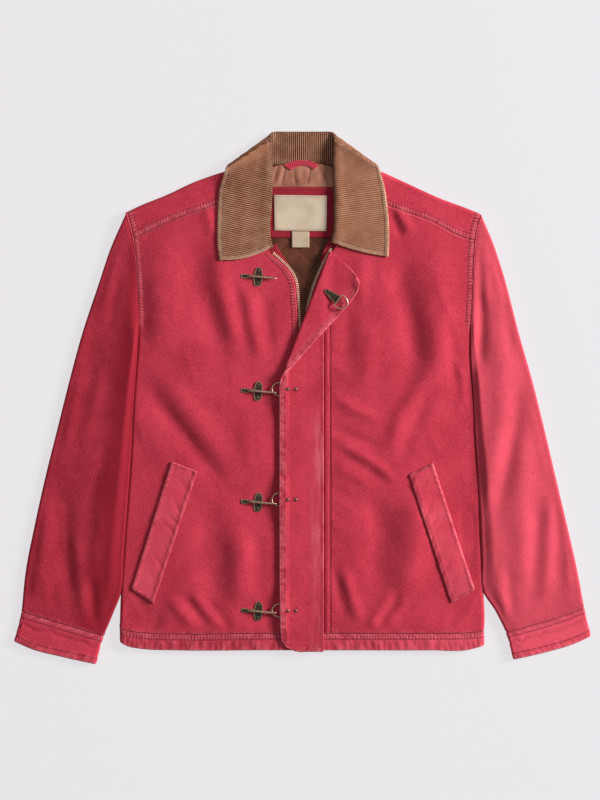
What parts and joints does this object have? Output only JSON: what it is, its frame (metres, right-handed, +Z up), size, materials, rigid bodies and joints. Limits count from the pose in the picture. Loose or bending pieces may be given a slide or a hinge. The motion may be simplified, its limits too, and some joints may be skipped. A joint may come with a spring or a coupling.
{
  "type": "work jacket",
  "caption": "Hip-length canvas work jacket laid flat on its back, with a corduroy collar, a storm flap over a zip, hook clasps with rings, slant pockets and cuffs.",
  "frame": {"origin": "middle of the jacket's outline, on the surface it lies on", "axes": "+Z up from the surface, out of the front; +Y towards the collar; +X towards the wearer's left sleeve"},
  "size_m": [0.864, 0.798, 0.0228],
  "materials": {
    "red_canvas": "washed cotton canvas, worn at the edges",
    "tan_corduroy": "worn corduroy",
    "brown_lining": "quilted smooth lining",
    "tan_lining": "plain smooth lining",
    "cream_label": "plain woven label",
    "old_brass": "dark aged brass, worn bright on the high places"
  },
  "bodies": {
    "jacket": {"back": "red_canvas", "back_lining": "brown_lining", "clasp_1_hook": "old_brass", "clasp_1_plate": "old_brass", "clasp_1_tongue": "old_brass", "clasp_2_hook": "old_brass", "clasp_2_plate": "old_brass", "clasp_2_tongue": "old_brass", "clasp_3_hook": "old_brass", "clasp_3_plate": "old_brass", "clasp_3_tongue": "old_brass", "clasp_4_hook": "old_brass", "clasp_4_plate": "old_brass", "clasp_4_tongue": "old_brass", "collar": "tan_corduroy", "cuff_left": "red_canvas", "cuff_right": "red_canvas", "facing_left": "red_canvas", "facing_right": "red_canvas", "front_flap": "red_canvas", "front_left": "red_canvas", "front_right": "red_canvas", "hanger_loop": "red_canvas", "hem_back": "red_canvas", "hem_left": "red_canvas", "hem_right": "red_canvas", "neck_facing": "red_canvas", "neck_label": "cream_label", "neck_lining": "tan_lining", "pocket_welt_left": "red_canvas", "pocket_welt_right": "red_canvas", "ring_2": "old_brass", "ring_3": "old_brass", "ring_4": "old_brass", "ring_plate_1": "old_brass", "ring_plate_2": "old_brass", "ring_plate_3": "old_brass", "ring_plate_4": "old_brass", "rivet_1a": "old_brass", "rivet_1b": "old_brass", "rivet_2a": "old_brass", "rivet_2b": "old_brass", "rivet_3a": "old_brass", "rivet_3b": "old_brass", "rivet_4a": "old_brass", "rivet_4b": "old_brass", "shoulder_left": "red_canvas", "shoulder_right": "red_canvas", "size_tag": "cream_label", "sleeve_left": "red_canvas", "sleeve_right": "red_canvas", "zip_tape_left": "red_canvas", "zip_tape_right": "red_canvas"},
    "open_ring": {"ring_1": "old_brass"}
  },
  "joints": [
    {"name": "ring_swing", "type": "hinge", "parent": "jacket", "child": "open_ring", "pos_m": [0.053, 0.146, 0.02082], "axis": [-0.6225, -0.7826, 0], "range_deg": [0, 175]}
  ]
}
